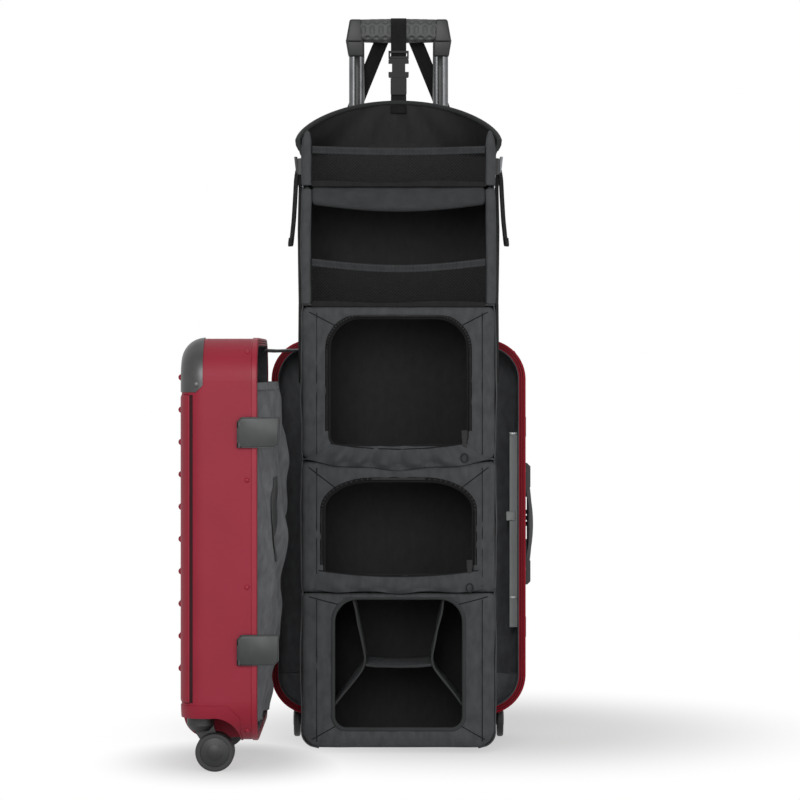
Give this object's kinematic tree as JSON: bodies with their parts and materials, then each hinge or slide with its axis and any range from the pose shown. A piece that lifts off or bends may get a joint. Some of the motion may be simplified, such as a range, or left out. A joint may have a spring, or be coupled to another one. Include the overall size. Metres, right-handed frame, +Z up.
{
  "type": "carry-on suitcase",
  "caption": "Hard-shell cabin suitcase on spinner casters, standing open on a side hinge, with a telescopic handle and a fabric shelf closet hung from the grip.",
  "frame": {"origin": "on the floor under the middle of the rear half's rim opening", "axes": "+X to the right when facing the open rear half, +Y away from the viewer into the rear half, +Z up"},
  "size_m": [0.4783, 0.4875, 1.0284],
  "materials": {
    "shell": "satin moulded shell",
    "rim": "satin moulded frame",
    "gunmetal": "satin gunmetal",
    "tube": "anodised dark grey",
    "black": "matte moulded",
    "grey": "satin moulded",
    "rubber": "matte",
    "lining": "woven",
    "closet": "woven",
    "webbing": "woven webbing",
    "mesh": "knitted net"
  },
  "bodies": {
    "case": {"rear_shell": "shell", "rear_rim": "rim", "rear_lining": "lining", "rear_corner_guards": "gunmetal", "rear_wheel_housings": "shell", "rear_hinge_leaf": "gunmetal", "hinge_pin": "gunmetal", "strike_plates": "gunmetal", "handle_bezel": "black", "outer_tubes": "tube", "tube_foot_bracket": "black", "carry_handle_ends": "black", "lock_body": "black", "side_rail": "grey"},
    "lid": {"lid_shell": "shell", "lid_rim": "rim", "lid_lining": "lining", "lid_corner_guards": "gunmetal", "lid_wheel_housings": "shell", "lid_hinge_leaf": "gunmetal", "lid_pocket_panel": "lining", "latch_lugs": "gunmetal"},
    "lower_latch": {"latch_lower": "gunmetal"},
    "upper_latch": {"latch_upper": "gunmetal"},
    "side_handle": {"carry_grip": "black"},
    "dial_1": {"lock_dial_1": "black"},
    "dial_2": {"lock_dial_2": "black"},
    "dial_3": {"lock_dial_3": "black"},
    "handle_middle": {"middle_tubes": "tube", "middle_collars": "black"},
    "handle_upper": {"upper_tubes": "tube", "grip_frame": "black", "grip_sleeve": "rubber", "hang_strap": "webbing"},
    "button": {"release_button": "black"},
    "tier_1": {"tier_1_body": "closet", "tier_1_mesh": "mesh", "hood": "closet", "cam_buckles": "black"},
    "tier_2": {"tier_2_body": "closet", "tier_2_mesh": "mesh", "compression_straps": "webbing"},
    "tier_3": {"tier_3_body": "closet"},
    "tier_4": {"tier_4_body": "closet"},
    "tier_5": {"tier_5_body": "closet", "tier_5_dividers": "closet"},
    "tier_3_zip": {"tier_3_slider": "black"},
    "tier_4_zip": {"tier_4_slider": "black"},
    "hang_buckle": {"strap_buckle": "black"},
    "rear_right_caster": {"rear_fork_right": "black"},
    "rear_right_wheel": {"rear_wheel_right": "rubber"},
    "rear_left_caster": {"rear_fork_left": "black"},
    "rear_left_wheel": {"rear_wheel_left": "rubber"},
    "lid_right_caster": {"lid_fork_right": "black"},
    "lid_right_wheel": {"lid_wheel_right": "rubber"},
    "lid_left_caster": {"lid_fork_left": "black"},
    "lid_left_wheel": {"lid_wheel_left": "rubber"}
  },
  "joints": [
    {"name": "lid_hinge", "type": "hinge", "parent": "case", "child": "lid", "pos_m": [-0.183, 0, 0.303], "axis": [0, 0, 1], "range_deg": [0, 90], "deforming": ["tier_1_body", "tier_1_mesh", "hood", "tier_2_body", "tier_2_mesh", "compression_straps", "tier_3_body", "tier_4_body", "tier_5_body", "tier_5_dividers", "lid_pocket_panel"]},
    {"name": "tier_1_pack", "type": "slide", "parent": "case", "child": "tier_1", "axis": [0, 0.0403, -0.9992], "range_m": [0, 0.34728]},
    {"name": "tier_2_pack", "type": "slide", "parent": "case", "child": "tier_2", "axis": [0, 0.1376, -0.9905], "range_m": [0, 0.29077]},
    {"name": "tier_3_pack", "type": "slide", "parent": "case", "child": "tier_3", "axis": [0, 0.3391, -0.9407], "range_m": [0, 0.18283]},
    {"name": "tier_4_pack", "type": "slide", "parent": "case", "child": "tier_4", "axis": [0, 0.6473, -0.7622], "range_m": [0, 0.09578]},
    {"name": "tier_5_pack", "type": "slide", "parent": "case", "child": "tier_5", "axis": [0, 0.8155, 0.5787], "range_m": [0, 0.07603]},
    {"name": "hang_buckle_pack", "type": "slide", "parent": "case", "child": "hang_buckle", "axis": [0, -0.2068, -0.9784], "range_m": [0, 0.54171]},
    {"name": "handle_lower", "type": "slide", "parent": "case", "child": "handle_middle", "axis": [0, 0, -1], "range_m": [0, 0.227], "deforming": ["hang_strap"]},
    {"name": "handle_stage", "type": "slide", "parent": "handle_middle", "child": "handle_upper", "axis": [0, 0, -1], "range_m": [0, 0.227]},
    {"name": "release_button", "type": "slide", "parent": "handle_upper", "child": "button", "axis": [0, 0, -1], "range_m": [0, 0.0035], "stiffness_N_per_m": 400},
    {"name": "lower_latch", "type": "hinge", "parent": "lid", "child": "lower_latch", "pos_m": [-0.2064, -0.3654, 0.16203], "axis": [0, 0, -1], "range_deg": [0, 70]},
    {"name": "upper_latch", "type": "hinge", "parent": "lid", "child": "upper_latch", "pos_m": [-0.2064, -0.3654, 0.44397], "axis": [0, 0, -1], "range_deg": [0, 70]},
    {"name": "side_handle", "type": "slide", "parent": "case", "child": "side_handle", "axis": [1, 0, 0], "range_m": [0, 0.008], "stiffness_N_per_m": 300},
    {"name": "dial_1", "type": "hinge", "parent": "case", "child": "dial_1", "pos_m": [0.1782, 0.04, 0.3055], "axis": [0, 0, 1], "continuous": true},
    {"name": "dial_2", "type": "hinge", "parent": "case", "child": "dial_2", "pos_m": [0.1782, 0.04, 0.314], "axis": [0, 0, 1], "continuous": true},
    {"name": "dial_3", "type": "hinge", "parent": "case", "child": "dial_3", "pos_m": [0.1782, 0.04, 0.3225], "axis": [0, 0, 1], "continuous": true},
    {"name": "rear_right_swivel", "type": "hinge", "parent": "case", "child": "rear_right_caster", "pos_m": [0.136, 0.091, 0.06], "axis": [0, 0, 1], "continuous": true},
    {"name": "rear_right_axle", "type": "hinge", "parent": "rear_right_caster", "child": "rear_right_wheel", "pos_m": [0.136, 0.072, 0.0255], "axis": [1, 0, 0], "continuous": true},
    {"name": "rear_left_swivel", "type": "hinge", "parent": "case", "child": "rear_left_caster", "pos_m": [-0.136, 0.091, 0.06], "axis": [0, 0, 1], "continuous": true},
    {"name": "rear_left_axle", "type": "hinge", "parent": "rear_left_caster", "child": "rear_left_wheel", "pos_m": [-0.136, 0.072, 0.0255], "axis": [1, 0, 0], "continuous": true},
    {"name": "lid_right_swivel", "type": "hinge", "parent": "lid", "child": "lid_right_caster", "pos_m": [-0.259, -0.319, 0.06], "axis": [0, 0, 1], "continuous": true},
    {"name": "lid_right_axle", "type": "hinge", "parent": "lid_right_caster", "child": "lid_right_wheel", "pos_m": [-0.24, -0.319, 0.0255], "axis": [0, 1, 0], "continuous": true},
    {"name": "lid_left_swivel", "type": "hinge", "parent": "lid", "child": "lid_left_caster", "pos_m": [-0.259, -0.047, 0.06], "axis": [0, 0, 1], "continuous": true},
    {"name": "lid_left_axle", "type": "hinge", "parent": "lid_left_caster", "child": "lid_left_wheel", "pos_m": [-0.24, -0.047, 0.0255], "axis": [0, 1, 0], "continuous": true},
    {"name": "tier_3_zip", "type": "slide", "parent": "tier_3", "child": "tier_3_zip", "axis": [0, 0, 1], "range_m": [0, 0.11]},
    {"name": "tier_4_zip", "type": "slide", "parent": "tier_4", "child": "tier_4_zip", "axis": [0, 0, 1], "range_m": [0, 0.08]}
  ],
  "couplings": [
    {"joint": "tier_1_pack", "follows": "lid_hinge", "m_per_rad": 0.22109},
    {"joint": "tier_2_pack", "follows": "lid_hinge", "m_per_rad": 0.18511},
    {"joint": "tier_3_pack", "follows": "lid_hinge", "m_per_rad": 0.1164},
    {"joint": "tier_4_pack", "follows": "lid_hinge", "m_per_rad": 0.060973},
    {"joint": "tier_5_pack", "follows": "lid_hinge", "m_per_rad": 0.0484},
    {"joint": "hang_buckle_pack", "follows": "lid_hinge", "m_per_rad": 0.34486},
    {"joint": "handle_stage", "follows": "handle_lower", "ratio": 1}
  ]
}
